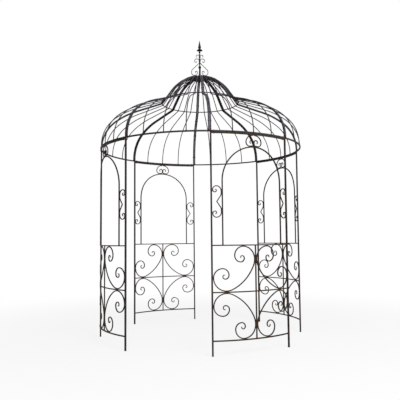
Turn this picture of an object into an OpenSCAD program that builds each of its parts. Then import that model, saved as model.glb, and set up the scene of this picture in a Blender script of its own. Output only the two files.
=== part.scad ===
// Round garden gazebo of bent and welded iron bar.
// Four curved lattice panels stand between four open doorways, a ring ties their
// posts together, and ribs and thin rods rise from it to a hub with a finial.

/* [Plan and heights] */
// Radius from the middle of the gazebo to the middle of its posts
plan_radius = 1100; // [1050:10:1200]
// Angle that one panel takes up, from post to post
panel_angle = 45; // [43:1:47]
// Height of the middle of the bottom rail
bottom_rail_z = 134; // [110:2:160]
// Height of the middle of the mid rail
mid_rail_z = 562; // [550:2:570]
// Height of the middle of the top rail
top_rail_z = 983; // [970:1:1000]
// Height of the middle of the ring that the roof stands on
ring_z = 2030; // [2015:1:2060]

/* [Bars] */
// Side of the square posts
post_size = 15; // [12:1:16]
// Side of the mid rail, the top rail and the upright bar
rail_size = 11; // [8:1:12]
// Side of the heavier bottom rail
bottom_rail_size = 12; // [9:1:14]
// Side of the bar that the arch is bent from
arch_size = 12; // [8:1:13]
// Side of the bar that the scrolls are bent from
scroll_size = 10; // [7:1:11]
// Side of the bar that the roof ring is bent from
ring_size = 15; // [12:1:17]
// Side of each of the two bars that make a roof rib
rib_size = 14; // [11:1:14]
// Gap between the two bars of a rib
rib_gap = 2; // [1:0.5:3]
// Thickness of the roof rods between the ribs
rod_size = 10; // [7:1:10]
// Diameter of the thin ring that lies on the rods at the neck
neck_ring_size = 11; // [8:1:12]

/* [Arch and ornaments] */
// Distance from the middle of a panel to the middle of an arch leg
arch_half = 322; // [300:2:330]
// Height at which the arch starts to curve
arch_spring_z = 1572; // [1540:2:1580]
// Height of the middle of the side ornaments
side_ornament_z = 1380; // [1300:2:1400]

/* [Roof] */
// Height that the roof bars stand upright on the ring
eave_rise = 11; // [8:1:18]
// Radius of the tight bend above the roof ring
eave_bend = 380; // [365:5:395]
// Angle of the tight bend above the roof ring
eave_turn = 53; // [50:1:56]
// Radius of the easy bend over the shoulder
shoulder_bend = 800; // [700:20:840]
// Slope at which the shoulder runs in to the neck
shoulder_slope = 18; // [16:0.5:20]
// Radius at which the roof turns up to the crown
neck_radius = 426; // [416:2:436]
// Radius of the bend at the neck
neck_bend = 45; // [35:5:50]
// Slope of the short rise above the neck
crown_slope = 55; // [53:1:57]
// Radius of the crown
crown_bend = 405; // [380:5:420]
// Radius of the hub plate that the ribs and rods meet
hub_radius = 105; // [105:1:112]

/* [Finial] */
// Height of the tip above the top of the hub
finial_height = 424; // [416:2:440]
// Diameter of the finial's rod
finial_rod = 15; // [11:1:16]
// Thickness of the finial's scrolls
finial_scroll_size = 6.5; // [4:0.5:7]

/* [Hidden] */
$fn = 96;
iron = "#3f3733";
bend_error = 0.3;
// A bent bar's sides lean, so its edges stand this far off at a neighbour's face
lean = 0.08 * scroll_size;
// Bars that are welded side to side bed into each other by this much
bedding = 0.4;
panel_half = panel_angle / 2;
post_shift = (rib_gap + rib_size) / 2;
post_turn = panel_half - asin(post_shift / plan_radius);
half_width = plan_radius * post_turn * PI / 180;
rail_reach = post_turn - asin(post_size / 2 / plan_radius);
spiral = [118, 83, 59, 35, 22, 14];
back_bend = 430;
back_turn = 25;

// Path of a bar: each entry is [x, y, heading, stretch of the offset].
// A bend is [radius, turn], a straight run is [length, 0], a corner is [0, turn].
function steps(r, turn) = max(2, ceil(abs(turn) / (2 * acos(1 - bend_error / r))));
function run(p, len) = [p[0] + len * cos(p[2]), p[1] + len * sin(p[2]), p[2], 1];
function corner(p, turn) = [p[0], p[1], p[2] + turn / 2, 1 / cos(turn / 2)];
function bend(p, r, turn, part) = let(
    b = p[2] + turn * part,
    s = turn > 0 ? r : -r
  ) [p[0] + s * (sin(b) - sin(p[2])), p[1] - s * (cos(b) - cos(p[2])), b, 1];
function bends(p, r, turn, n) = [for (k = [1 : n]) bend(p, r, turn, k / n)];
function piece(p, seg) =
  seg[1] == 0 ? [run(p, seg[0])] :
  seg[0] == 0 ? [corner(p, seg[1])] :
  bends(p, seg[0], seg[1], steps(seg[0], seg[1]));
function last(v) = v[len(v) - 1];
function rest(v) = [for (i = [1 : len(v) - 1]) v[i]];
function backwards(v) = [for (i = [len(v) - 1 : -1 : 0]) v[i]];
function follow(p, segs, i = 0) =
  i == len(segs) ? [] : let(q = piece(p, segs[i])) concat(q, follow(last(q), segs, i + 1));
function path(start, segs) = concat([start], follow(start, segs));
function turned(v) = [for (p = backwards(v)) [p[0], p[1], p[2] + 180, p[3]]];
function beside(p, d) = [p[0] - d * p[3] * sin(p[2]), p[1] + d * p[3] * cos(p[2])];
function outline(v, w) = concat(
    [for (p = v) beside(p, w / 2)],
    [for (p = backwards(v)) beside(p, -w / 2)]
  );

// A spiral end: bends that tighten inwards and a curled tip
function spiral_end(side) = [
    for (i = [0 : 5]) [spiral[i], side * (i < 5 ? 90 : 120)]
  ];

// A scroll fills one quarter of the lower panel. The crossing of the mid rail and
// the upright bar is at the origin, and the quarter is on the plus side of both.
function scroll_path(wide, high) = let(
    touch = rail_size / 2 + scroll_size / 2,
    side = touch + lean,
    start_y = high - scroll_size / 2 - spiral[0],
    rise = start_y - touch,
    reach = wide - post_size / 2 - scroll_size / 2 - lean - spiral[0] - side,
    middle = back_bend * (cos(back_turn) - sin(back_turn)),
    sum = (rise + reach - 2 * middle) / (1 - cos(back_turn) + sin(back_turn)),
    difference = (reach - rise) / (sin(back_turn) + cos(back_turn) - 1),
    head = (sum - difference) / 2,
    foot = (sum + difference) / 2,
    back = [[head, back_turn], [back_bend, 90 - 2 * back_turn], [foot, back_turn]]
  ) concat(
    turned(path([side, start_y, 90, 1], spiral_end(-1))),
    rest(path([side, start_y, -90, 1], concat(back, spiral_end(1))))
  );

// Bends a flat outline round the panel's curve. x is measured along the curve.
module bent(toward, from, pts, thick) {
  flat = [for (p = pts) [plan_radius * sin(p[0] / plan_radius * 180 / PI - from), p[1]]];
  depth = plan_radius * (1 - cos(panel_half + 2)) + thick;
  intersection() {
    rotate([0, 0, toward + from])
      translate([plan_radius - depth, 0, 0])
        rotate([90, 0, 90])
          linear_extrude(depth + thick)
            polygon(flat);
    rotate([0, 0, toward - panel_half - 2])
      rotate_extrude(angle = panel_angle + 4)
        translate([plan_radius - thick / 2, 0])
          square([thick, ring_z]);
  }
}

// A bar that follows the panel's curve at one height
module curved_bar(toward, z, size) {
  rotate([0, 0, toward - rail_reach])
    rotate_extrude(angle = 2 * rail_reach)
      translate([plan_radius, z])
        square(size, center = true);
}

module post(angle) {
  color(iron)
    rotate([0, 0, angle])
      translate([plan_radius - post_size / 2, -post_size / 2, 0])
        cube([post_size, post_size, ring_z - ring_size / 2]);
}

// Three curved rails and the upright bar, and the curved bar right under the ring
module rails(toward) {
  color(iron) {
    curved_bar(toward, ring_z - ring_size, ring_size);
    curved_bar(toward, bottom_rail_z, bottom_rail_size);
    curved_bar(toward, mid_rail_z, rail_size);
    curved_bar(toward, top_rail_z, rail_size);
    rotate([0, 0, toward])
      translate([plan_radius - rail_size / 2, -rail_size / 2, bottom_rail_z])
        cube([rail_size, rail_size, top_rail_z - bottom_rail_z]);
  }
}

module arch(toward) {
  foot_z = top_rail_z + rail_size / 2;
  leg = [arch_spring_z - foot_z, 0];
  line = path([arch_half, foot_z, 90, 1], [leg, [arch_half, 180], leg]);
  color(iron)
    bent(toward, 0, outline(line, arch_size), arch_size);
}

module scroll(toward, side, up) {
  above = top_rail_z - rail_size / 2 - mid_rail_z;
  below = mid_rail_z - bottom_rail_z - bottom_rail_size / 2;
  high = up > 0 ? above : below;
  shape = outline(scroll_path(half_width, high), scroll_size);
  placed = [for (p = shape) [side * p[0], mid_rail_z + up * p[1]]];
  bent(toward, side * panel_half / 2, placed, scroll_size);
}

module scrolls(toward) {
  color(iron)
    for (side = [-1, 1])
      for (up = [-1, 1])
        scroll(toward, side, up);
}

// One bar bent like a 3 stands between the arch leg and the post
module side_ornament(toward, side, size) {
  leg_x = arch_half + arch_size / 2 + size / 2 - bedding / 2;
  post_x = half_width - post_size / 2 - size / 2 - 2 * lean;
  wide = post_x - leg_x;
  slant = 34;
  drop = 97 - 20 - 50 * sin(slant);
  curl = [[0.59 * wide, -90], [0.41 * wide, -90], [4, 0], [20, -90], [14, -90], [10, -110]];
  point = [[20, 0], [50, slant], [drop / cos(slant), 0], [0, -2 * slant]];
  upper = concat(
    turned(path([leg_x, 97, 90, 1], curl)),
    rest(path([leg_x, 97, -90, 1], point))
  );
  tip = len(upper) - 2;
  top = [for (i = [0 : tip + 1]) if (i != tip) upper[i]];
  lower = [for (p = rest(backwards(top))) [p[0], -p[1], -180 - p[2], p[3]]];
  shape = outline(concat(top, lower), size);
  bent(toward, 0, [for (p = shape) [side * p[0], side_ornament_z + p[1]]], size);
}

// The heart over the arch is two bars that run down from the ring, in along the arch,
// up side by side in the middle and out again in a curl
module heart(toward, size) {
  top_z = ring_z - 1.5 * ring_size - size / 2;
  low_bend = 36;
  low_x = 47;
  flat_top = 8;
  arch_reach = arch_half + arch_size / 2 + size / 2 + low_bend - bedding;
  centre_z = arch_spring_z + sqrt(arch_reach * arch_reach - low_x * low_x);
  top_bend = top_z - centre_z;
  tilt = asin(low_x / arch_reach);
  stem_x = size / 2 - bedding;
  stem_bend = 12;
  inward = (low_x - low_bend * sin(tilt) - stem_x - stem_bend * (1 - sin(tilt))) / cos(tilt);
  line = path([low_x + low_bend - top_bend - flat_top, top_z, 0, 1], [
    [flat_top, 0],
    [top_bend, -90],
    [low_bend, -90 - tilt],
    [inward, 0],
    [stem_bend, tilt - 90],
    [22, 0],
    [19, -90],
    [18, -90],
    [14, -70]
  ]);
  for (side = [-1, 1])
    bent(toward, 0, [for (p = outline(line, size)) [side * p[0], p[1]]], size);
}

module ornaments(toward) {
  size = scroll_size - 1;
  color(iron) {
    side_ornament(toward, -1, size);
    side_ornament(toward, 1, size);
    heart(toward, size);
  }
}

// The roof's line in a plane through the axis, from the ring up to the hub
eave_line = path([plan_radius, ring_z + ring_size / 2, 90, 1], [
  [eave_rise, 0],
  [eave_bend, eave_turn],
  [shoulder_bend, 90 - eave_turn - shoulder_slope]
]);
shoulder_end = last(eave_line)[0];
neck_turn = crown_slope - shoulder_slope;
neck_cut = neck_bend * tan(neck_turn / 2);
neck_z = last(eave_line)[1] + (shoulder_end - neck_radius) * tan(shoulder_slope);
crown_edge = crown_bend * sin(crown_slope);
roof_line = concat(eave_line, rest(path(last(eave_line), [
  [(shoulder_end - neck_radius) / cos(shoulder_slope) - neck_cut, 0],
  [neck_bend, -neck_turn],
  [(neck_radius - crown_edge) / cos(crown_slope) - neck_cut, 0],
  [crown_bend, crown_slope - 6]
])));
crown_z = last(roof_line)[1] + crown_bend * (1 - cos(6));

module roof_bar(angle, size, shift) {
  difference() {
    rotate([90, 0, angle])
      translate([0, 0, shift])
        linear_extrude(size, center = true)
          polygon(outline(roof_line, size));
    translate([0, 0, crown_z - 50])
      cylinder(r = hub_radius, h = 80);
  }
}

// Two bars side by side make a rib, one from each of the roof sections that meet there
module rib(angle) {
  color(iron)
    for (side = [-1, 1])
      roof_bar(angle, rib_size, side * post_shift);
}

// Three rods stand between one pair of ribs
module rods(toward) {
  color(iron)
    for (k = [-1 : 1])
      roof_bar(toward + k * 11.25, rod_size, 0);
}

module roof_ring() {
  color(iron)
    rotate_extrude()
      translate([plan_radius, ring_z])
        square(ring_size, center = true);
}

// The thin ring lies on the rods where the roof turns up, in lengths between the ribs
module neck_ring() {
  lift_angle = 90 - (shoulder_slope + crown_slope) / 2;
  lift = neck_bend * (1 / cos(neck_turn / 2) - 1) + rod_size / 2 + neck_ring_size / 2;
  ring_radius = neck_radius + lift * cos(lift_angle);
  color(iron)
    difference() {
      rotate_extrude()
        translate([ring_radius, neck_z + lift * sin(lift_angle)])
          circle(d = neck_ring_size);
      for (k = [0 : 3])
        rotate([0, 0, 22.5 + k * 45])
          translate([0, 0, neck_z])
            cube([3 * neck_radius, 2 * rib_size + rib_gap, 100], center = true);
    }
}

// The hub is a plate domed to the crown's bend, with a collar for the finial
hub_thick = 12;
hub_top = crown_z + hub_thick / 2;
module hub() {
  line = path([0, crown_z, 0, 1], [[crown_bend, -20]]);
  color(iron) {
    intersection() {
      rotate_extrude()
        polygon(outline(line, hub_thick));
      translate([0, 0, crown_z - 50])
        cylinder(r = hub_radius, h = 80);
    }
    translate([0, 0, crown_z])
      cylinder(r = 18, h = hub_thick / 2 + collar);
  }
}

// The finial's rod with its beads, each given by its height over the collar and its radius
collar = 7;
disc_z = finial_height - 120;
beads = [[24, 12], [102, 16.5], [151, 12], [178, 12], [225, 12], [278, 11]];
module finial_stem() {
  translate([0, 0, hub_top + collar]) {
    cylinder(d = finial_rod, h = 245);
    cylinder(d = finial_rod - 4, h = disc_z);
    for (bead = beads)
      translate([0, 0, bead[0]])
        sphere(r = bead[1]);
  }
}

// The stem ends in a disc and a spear point that flares out to it
module finial() {
  waist = disc_z + 18;
  widest = disc_z + 32;
  color(iron) {
    finial_stem();
    translate([0, 0, hub_top + collar]) {
      translate([0, 0, disc_z - 4])
        cylinder(r = 34, h = 7);
      translate([0, 0, disc_z])
        cylinder(r1 = 22, r2 = 12.5, h = waist - disc_z);
      translate([0, 0, waist])
        cylinder(r1 = 12.5, r2 = 17, h = widest - waist);
      translate([0, 0, widest])
        cylinder(r1 = 17, r2 = 1, h = finial_height - widest - collar);
    }
  }
}

// Three scrolls stand over each other on four sides of the finial's rod
module finial_scrolls() {
  big = path([0, hub_top + 165, -44, 1], [
    [110, 0],
    [48, -46],
    [4, 0],
    [34, -90],
    [34, -90],
    [15, -90],
    [11, -90],
    [8, -100]
  ]);
  middle = path([0, hub_top + 190, 60, 1], [[38, -60], [25, -90], [16, -90], [10, -120]]);
  small = path([0, hub_top + 253, 0, 1], [[26, 0], [13, -90], [13, -75]]);
  color(iron)
    difference() {
      for (k = [0 : 3])
        rotate([90, 0, 22.5 + k * 90])
          linear_extrude(finial_scroll_size, center = true) {
            polygon(outline(big, finial_scroll_size));
            polygon(outline(middle, finial_scroll_size));
            polygon(outline(small, finial_scroll_size));
          }
      finial_stem();
    }
}

module front_right_left_post() { post(315 - post_turn); }
module front_right_right_post() { post(315 + post_turn); }
module front_right_rails() { rails(315); }
module front_right_scrolls() { scrolls(315); }
module front_right_arch() { arch(315); }
module front_right_ornaments() { ornaments(315); }
module back_right_left_post() { post(45 - post_turn); }
module back_right_right_post() { post(45 + post_turn); }
module back_right_rails() { rails(45); }
module back_right_scrolls() { scrolls(45); }
module back_right_arch() { arch(45); }
module back_right_ornaments() { ornaments(45); }
module back_left_left_post() { post(135 - post_turn); }
module back_left_right_post() { post(135 + post_turn); }
module back_left_rails() { rails(135); }
module back_left_scrolls() { scrolls(135); }
module back_left_arch() { arch(135); }
module back_left_ornaments() { ornaments(135); }
module front_left_left_post() { post(225 - post_turn); }
module front_left_right_post() { post(225 + post_turn); }
module front_left_rails() { rails(225); }
module front_left_scrolls() { scrolls(225); }
module front_left_arch() { arch(225); }
module front_left_ornaments() { ornaments(225); }
module rib_right_back() { rib(22.5); }
module rib_back_right() { rib(67.5); }
module rib_back_left() { rib(112.5); }
module rib_left_back() { rib(157.5); }
module rib_left_front() { rib(202.5); }
module rib_front_left() { rib(247.5); }
module rib_front_right() { rib(292.5); }
module rib_right_front() { rib(337.5); }
module rods_right() { rods(0); }
module rods_back_right() { rods(45); }
module rods_back() { rods(90); }
module rods_back_left() { rods(135); }
module rods_left() { rods(180); }
module rods_front_left() { rods(225); }
module rods_front() { rods(270); }
module rods_front_right() { rods(315); }

front_right_left_post();
front_right_right_post();
front_right_rails();
front_right_scrolls();
front_right_arch();
front_right_ornaments();
back_right_left_post();
back_right_right_post();
back_right_rails();
back_right_scrolls();
back_right_arch();
back_right_ornaments();
back_left_left_post();
back_left_right_post();
back_left_rails();
back_left_scrolls();
back_left_arch();
back_left_ornaments();
front_left_left_post();
front_left_right_post();
front_left_rails();
front_left_scrolls();
front_left_arch();
front_left_ornaments();
rib_right_back();
rib_back_right();
rib_back_left();
rib_left_back();
rib_left_front();
rib_front_left();
rib_front_right();
rib_right_front();
rods_right();
rods_back_right();
rods_back();
rods_back_left();
rods_left();
rods_front_left();
rods_front();
rods_front_right();
roof_ring();
neck_ring();
hub();
finial();
finial_scrolls();
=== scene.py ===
import math

import bmesh
import bpy
from mathutils import Matrix, Vector
from mathutils.kdtree import KDTree


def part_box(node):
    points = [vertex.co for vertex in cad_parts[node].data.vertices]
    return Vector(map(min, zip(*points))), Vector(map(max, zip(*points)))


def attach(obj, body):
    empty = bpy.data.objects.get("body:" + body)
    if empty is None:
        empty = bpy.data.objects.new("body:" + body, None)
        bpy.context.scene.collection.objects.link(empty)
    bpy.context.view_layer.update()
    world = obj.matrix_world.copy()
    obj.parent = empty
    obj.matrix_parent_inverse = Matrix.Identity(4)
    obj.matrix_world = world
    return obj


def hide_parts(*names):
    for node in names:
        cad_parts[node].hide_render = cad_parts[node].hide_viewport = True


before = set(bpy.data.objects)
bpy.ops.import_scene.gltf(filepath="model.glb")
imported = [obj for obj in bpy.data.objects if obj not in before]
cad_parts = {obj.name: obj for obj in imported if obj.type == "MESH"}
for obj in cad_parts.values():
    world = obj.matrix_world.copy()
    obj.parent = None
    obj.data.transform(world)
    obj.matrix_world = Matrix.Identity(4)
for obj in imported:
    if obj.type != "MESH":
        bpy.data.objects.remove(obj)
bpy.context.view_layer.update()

# ---------------------------------------------------------------- sizes, in metres

ring_low, ring_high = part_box("roof_ring")
RING = ring_high.z - ring_low.z
PLAN = ring_high.x - RING / 2
RING_Z = (ring_low.z + ring_high.z) / 2
TIP_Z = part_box("finial")[1].z
HUB_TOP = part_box("hub")[1].z

POST = 0.015
FOOT_Z = 0.0003
RAIL = 0.011
BOTTOM_RAIL = 0.012
ARCH = 0.012
SCROLL = 0.010
ORNAMENT = 0.009
RIB = 0.014
RIB_GAP = 0.002
ROD = 0.010
FINIAL_SCROLL = 0.0065
NECK_RING = 0.011

BOTTOM_RAIL_Z = 0.134
MID_RAIL_Z = 0.562
TOP_RAIL_Z = 0.983
ARCH_HALF = 0.322
ARCH_SPRING_Z = 1.572
SIDE_ORNAMENT_Z = 1.380
SIDE_ORNAMENT_BEND_Z = 0.097
BEDDING = 0.0004
LEAN = 0.0008
SPIRAL = (0.118, 0.083, 0.059, 0.035, 0.022, 0.014)
BACK_BEND, BACK_TURN = 0.430, 25

EAVE_RISE, EAVE_BEND, EAVE_TURN = 0.011, 0.380, 53
SHOULDER_BEND, SHOULDER_SLOPE = 0.800, 18
NECK_RADIUS, NECK_BEND = 0.426, 0.045
CROWN_SLOPE, CROWN_BEND = 55, 0.405

# Height over the collar, radius and flatness of each bead on the finial's stem
FINIAL_BEADS = ((0.024, 0.012, 0.9), (0.102, 0.0165, 0.95), (0.151, 0.012, 0.85),
                (0.178, 0.012, 1.0), (0.225, 0.012, 1.0), (0.278, 0.011, 0.9))

RIB_TURN = 22.5
ROD_TURN = 11.25
RIB_SHIFT = (RIB + RIB_GAP) / 2
POST_TURN = RIB_TURN - math.degrees(math.asin(RIB_SHIFT / PLAN))
HALF_WIDTH = PLAN * math.radians(POST_TURN)

PANELS = {"front_right": 315, "back_right": 45, "back_left": 135, "front_left": 225}
RIBS = {
    "right_back": 22.5, "back_right": 67.5, "back_left": 112.5, "left_back": 157.5,
    "left_front": 202.5, "front_left": 247.5, "front_right": 292.5, "right_front": 337.5,
}
ROD_FIELDS = {
    "right": 0, "back_right": 45, "back": 90, "back_left": 135,
    "left": 180, "front_left": 225, "front": 270, "front_right": 315,
}

# ---------------------------------------------------------------- the lines that bars follow

ARC_STEP = 0.012
STRAIGHT_STEP = 0.025


def sine(angle):
    return math.sin(math.radians(angle))


def cosine(angle):
    return math.cos(math.radians(angle))


def outward(angle):
    """The way out from the axis, at an angle round it."""
    return Vector((cosine(angle), sine(angle), 0))


def sideways(out):
    """The way round the axis, square to the way out."""
    return Vector((-out.y, out.x, 0))


def on_circle(out, radius, z):
    return out * radius + Vector((0, 0, z))


def bar_line(start, moves, spacing=0.012, turn_step=6):
    """Points (x, y, heading) of a bar. A bend is (radius, turn), and a straight run is (length, 0)."""
    x, y, heading = start
    line = [(x, y, heading)]
    for size, turn in moves:
        if turn == 0:
            count = max(1, round(size / spacing))
            ox, oy = x, y
            for k in range(1, count + 1):
                x = ox + size * k / count * cosine(heading)
                y = oy + size * k / count * sine(heading)
                line.append((x, y, heading))
        else:
            arc = size * math.radians(abs(turn))
            count = max(2, math.ceil(max(abs(turn) / turn_step, arc / spacing)))
            radius = size if turn > 0 else -size
            ox, oy, first = x, y, heading
            for k in range(1, count + 1):
                heading = first + turn * k / count
                x = ox + radius * (sine(heading) - sine(first))
                y = oy - radius * (cosine(heading) - cosine(first))
                line.append((x, y, heading))
    return line


def backwards(line):
    return [(x, y, heading + 180) for x, y, heading in reversed(line)]


def joined(first, second):
    """Two halves that start at the same point, as one line."""
    return backwards(first) + second[1:]


def round_panel(line, toward, side=1, z=0.0, up=1):
    """Lays a flat line round the panel's curve: x runs along the curve, y upwards."""
    placed = []
    for x, y, _ in line:
        angle = toward + math.degrees(side * x / PLAN)
        out = outward(angle)
        placed.append((on_circle(out, PLAN, z + up * y), out))
    return placed


def on_roof(line, angle, shift=0.0):
    """Stands a line (radius, height) in an upright plane through the axis, or beside that plane."""
    out = outward(angle)
    across = sideways(out)
    return [(out * r + across * shift + Vector((0, 0, z)), across) for r, z, _ in line]


def level_arc(toward, reach, radius, z):
    """A level line round the axis, reaching as far to each side of toward."""
    count = math.ceil(radius * math.radians(2 * reach) / ARC_STEP)
    placed = []
    for k in range(count + 1):
        angle = toward - reach + 2 * reach * k / count
        out = outward(angle)
        placed.append((on_circle(out, radius, z), out))
    return placed


def straight(start, end, out):
    count = max(1, round((end - start).length / STRAIGHT_STEP))
    return [(start.lerp(end, k / count), out) for k in range(count + 1)]


# ---------------------------------------------------------------- building with node trees

BAR_WAVER_SCALE = 45.0
BEAD_WAVER_SCALE = 260.0

# The bolt's head, its nut and two washers: side, thickness, share of the head's radius, corners
BOLT_DISCS = ((1, 0.0026, 1.0, 6), (-1, 0.0030, 1.0, 6), (1, 0.0008, 1.25, 12), (-1, 0.0008, 1.25, 12))
DISC_BITE = 0.0002
SHANK_OVERHANG = 0.009
SHANK_SHARE = 0.55


def add(tree, kind, inputs=None, **settings):
    """One node, with its settings and its inputs: a value, or another node's output."""
    made = tree.nodes.new(kind)
    for key, value in settings.items():
        setattr(made, key, value)
    for key, value in (inputs or {}).items():
        socket = made.inputs[key]
        if isinstance(value, bpy.types.NodeSocket):
            tree.links.new(value, socket)
        else:
            socket.default_value = value
    return made


def maths(tree, operation, a, b, **settings):
    return add(tree, "ShaderNodeMath", {0: a, 1: b}, operation=operation, **settings).outputs[0]


def stored(tree, name, kind="FLOAT_VECTOR"):
    """A value that the source mesh carries under this name."""
    return add(tree, "GeometryNodeInputNamedAttribute", {"Name": name}, data_type=kind).outputs[0]


def new_tree(name, kind, inputs, outputs):
    """An empty tree, its input node and its output node."""
    tree = bpy.data.node_groups.new(name, kind)
    for label, socket, value in inputs:
        made = tree.interface.new_socket(label, in_out="INPUT", socket_type=socket)
        if value is not None:
            made.default_value = value
    for label, socket in outputs:
        tree.interface.new_socket(label, in_out="OUTPUT", socket_type=socket)
    return tree, tree.nodes.new("NodeGroupInput"), tree.nodes.new("NodeGroupOutput")


def coat_and_close(tree, given, end, geometry):
    """Gives the geometry its finish and makes it the tree's result."""
    coated = add(tree, "GeometryNodeSetMaterial", {"Geometry": geometry, "Material": given.outputs["Finish"]})
    tree.links.new(coated.outputs[0], end.inputs[0])


def finish_mesh(tree, given, end, geometry, waver_scale):
    """Moves the faces in and out a little, as hammered or welded metal, and closes the tree."""
    place = add(tree, "GeometryNodeInputPosition")
    shifted = add(tree, "ShaderNodeVectorMath", {
        0: place.outputs[0], 1: given.outputs["Seed"],
    }, operation="ADD")
    noise = add(tree, "ShaderNodeTexNoise", {
        "Vector": shifted.outputs[0], "Scale": waver_scale, "Detail": 2.0,
    })
    centred = maths(tree, "SUBTRACT", noise.outputs[0], 0.5)
    amount = maths(tree, "MULTIPLY", centred, given.outputs["Waver"])
    normal = add(tree, "GeometryNodeInputNormal")
    offset = add(tree, "ShaderNodeVectorMath", {0: normal.outputs[0], "Scale": amount}, operation="SCALE")
    moved = add(tree, "GeometryNodeSetPosition", {"Geometry": geometry, "Offset": offset.outputs[0]})
    smooth = add(tree, "GeometryNodeSetShadeSmooth", {"Geometry": moved.outputs[0], "Shade Smooth": True})
    real = add(tree, "GeometryNodeRealizeInstances", {"Geometry": smooth.outputs[0]})
    coat_and_close(tree, given, end, real.outputs[0])


def bent_bar_tree():
    """Sweeps a square or round section along every line, full size or drawn down where 'full' says."""
    tree, given, end = new_tree("bent_bar", "GeometryNodeTree", [
        ("Lines", "NodeSocketGeometry", None),
        ("Width", "NodeSocketFloat", 0.01),
        ("Corner", "NodeSocketFloat", 0.0015),
        ("Round", "NodeSocketBool", False),
        ("Waver", "NodeSocketFloat", 0.0005),
        ("Seed", "NodeSocketVector", (0, 0, 0)),
        ("Finish", "NodeSocketMaterial", None),
    ], [("Bars", "NodeSocketGeometry")])
    line = add(tree, "GeometryNodeMeshToCurve", {"Mesh": given.outputs["Lines"]})
    framed = add(tree, "GeometryNodeSetCurveNormal", {
        "Curve": line.outputs[0], "Normal": stored(tree, "out"),
    }, mode="FREE")

    square = add(tree, "GeometryNodeCurvePrimitiveQuadrilateral", {
        "Width": given.outputs["Width"], "Height": given.outputs["Width"],
    }, mode="RECTANGLE")
    eased = add(tree, "GeometryNodeFilletCurve", {
        "Curve": square.outputs[0], "Count": 2, "Radius": given.outputs["Corner"], "Limit Radius": True,
    }, mode="POLY")
    half = maths(tree, "MULTIPLY", given.outputs["Width"], 0.5)
    circle = add(tree, "GeometryNodeCurvePrimitiveCircle", {"Resolution": 12, "Radius": half})
    section = add(tree, "GeometryNodeSwitch", {
        "Switch": given.outputs["Round"], "False": eased.outputs[0], "True": circle.outputs[0],
    }, input_type="GEOMETRY")

    place = add(tree, "GeometryNodeInputPosition")
    reach = add(tree, "ShaderNodeVectorMath", {0: place.outputs[0]}, operation="LENGTH")
    share = maths(tree, "DIVIDE", reach.outputs["Value"], given.outputs["Width"])
    ridge = add(tree, "ShaderNodeMapRange", {"Value": share, "From Min": 0.6, "From Max": 0.65})
    edged = add(tree, "GeometryNodeStoreNamedAttribute", {
        "Geometry": section.outputs[0], "Name": "edge", "Value": ridge.outputs[0],
    }, data_type="FLOAT", domain="POINT")

    bar = add(tree, "GeometryNodeCurveToMesh", {
        "Curve": framed.outputs[0], "Profile Curve": edged.outputs[0],
        "Scale": stored(tree, "full", "FLOAT"), "Fill Caps": True,
    })
    finish_mesh(tree, given, end, bar.outputs[0], BAR_WAVER_SCALE)
    return tree


def set_on_points(tree, given, part, main_axis, second_axis, inputs=None):
    """Sets a part on every point, with its main axis along 'along' and its second one to 'out'."""
    turned = add(tree, "FunctionNodeAxesToRotation", {
        "Primary Axis": stored(tree, "along"), "Secondary Axis": stored(tree, "out"),
    }, primary_axis=main_axis, secondary_axis=second_axis)
    placed = add(tree, "GeometryNodeInstanceOnPoints", {
        "Points": given.outputs["Points"], "Instance": part, "Rotation": turned.outputs[0], **(inputs or {}),
    })
    return add(tree, "GeometryNodeRealizeInstances", {"Geometry": placed.outputs[0]}).outputs[0]


def weld_bead_tree():
    """Sets a lumpy bead on every point."""
    tree, given, end = new_tree("weld_beads", "GeometryNodeTree", [
        ("Points", "NodeSocketGeometry", None),
        ("Waver", "NodeSocketFloat", 0.0012),
        ("Seed", "NodeSocketVector", (0, 0, 0)),
        ("Finish", "NodeSocketMaterial", None),
    ], [("Beads", "NodeSocketGeometry")])
    bead = add(tree, "GeometryNodeMeshIcoSphere", {"Radius": 1.0, "Subdivisions": 2})
    beads = set_on_points(tree, given, bead.outputs["Mesh"], "X", "Z", {"Scale": stored(tree, "size")})
    finish_mesh(tree, given, end, beads, BEAD_WAVER_SCALE)
    return tree


def bolt_tree():
    """Sets a bolt with a low hexagon head, a nut and two washers on every point."""
    tree, given, end = new_tree("bolts", "GeometryNodeTree", [
        ("Points", "NodeSocketGeometry", None),
        ("Grip", "NodeSocketFloat", 0.026),
        ("Head", "NodeSocketFloat", 0.005),
        ("Finish", "NodeSocketMaterial", None),
    ], [("Bolts", "NodeSocketGeometry")])
    half = maths(tree, "MULTIPLY", given.outputs["Grip"], 0.5)
    parts = []
    for side, thick, wide, corners in BOLT_DISCS:
        radius = maths(tree, "MULTIPLY", given.outputs["Head"], wide)
        disc = add(tree, "GeometryNodeMeshCylinder", {"Vertices": corners, "Radius": radius, "Depth": thick})
        away = maths(tree, "ADD", half, thick / 2 - DISC_BITE)
        shift = add(tree, "ShaderNodeCombineXYZ", {"Z": maths(tree, "MULTIPLY", away, float(side))})
        moved = add(tree, "GeometryNodeTransform", {
            "Geometry": disc.outputs["Mesh"], "Translation": shift.outputs[0],
        })
        parts.append(moved.outputs[0])
    shank = add(tree, "GeometryNodeMeshCylinder", {
        "Vertices": 8,
        "Radius": maths(tree, "MULTIPLY", given.outputs["Head"], SHANK_SHARE),
        "Depth": maths(tree, "ADD", given.outputs["Grip"], SHANK_OVERHANG),
    })
    bolt = add(tree, "GeometryNodeJoinGeometry")
    for part in [*parts, shank.outputs["Mesh"]]:
        tree.links.new(part, bolt.inputs[0])
    bolts_placed = set_on_points(tree, given, bolt.outputs[0], "Z", "X")
    coat_and_close(tree, given, end, bolts_placed)
    return tree


def put(name, mesh):
    piece = bpy.data.objects.new(name, mesh)
    bpy.context.scene.collection.objects.link(piece)
    return piece


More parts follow.
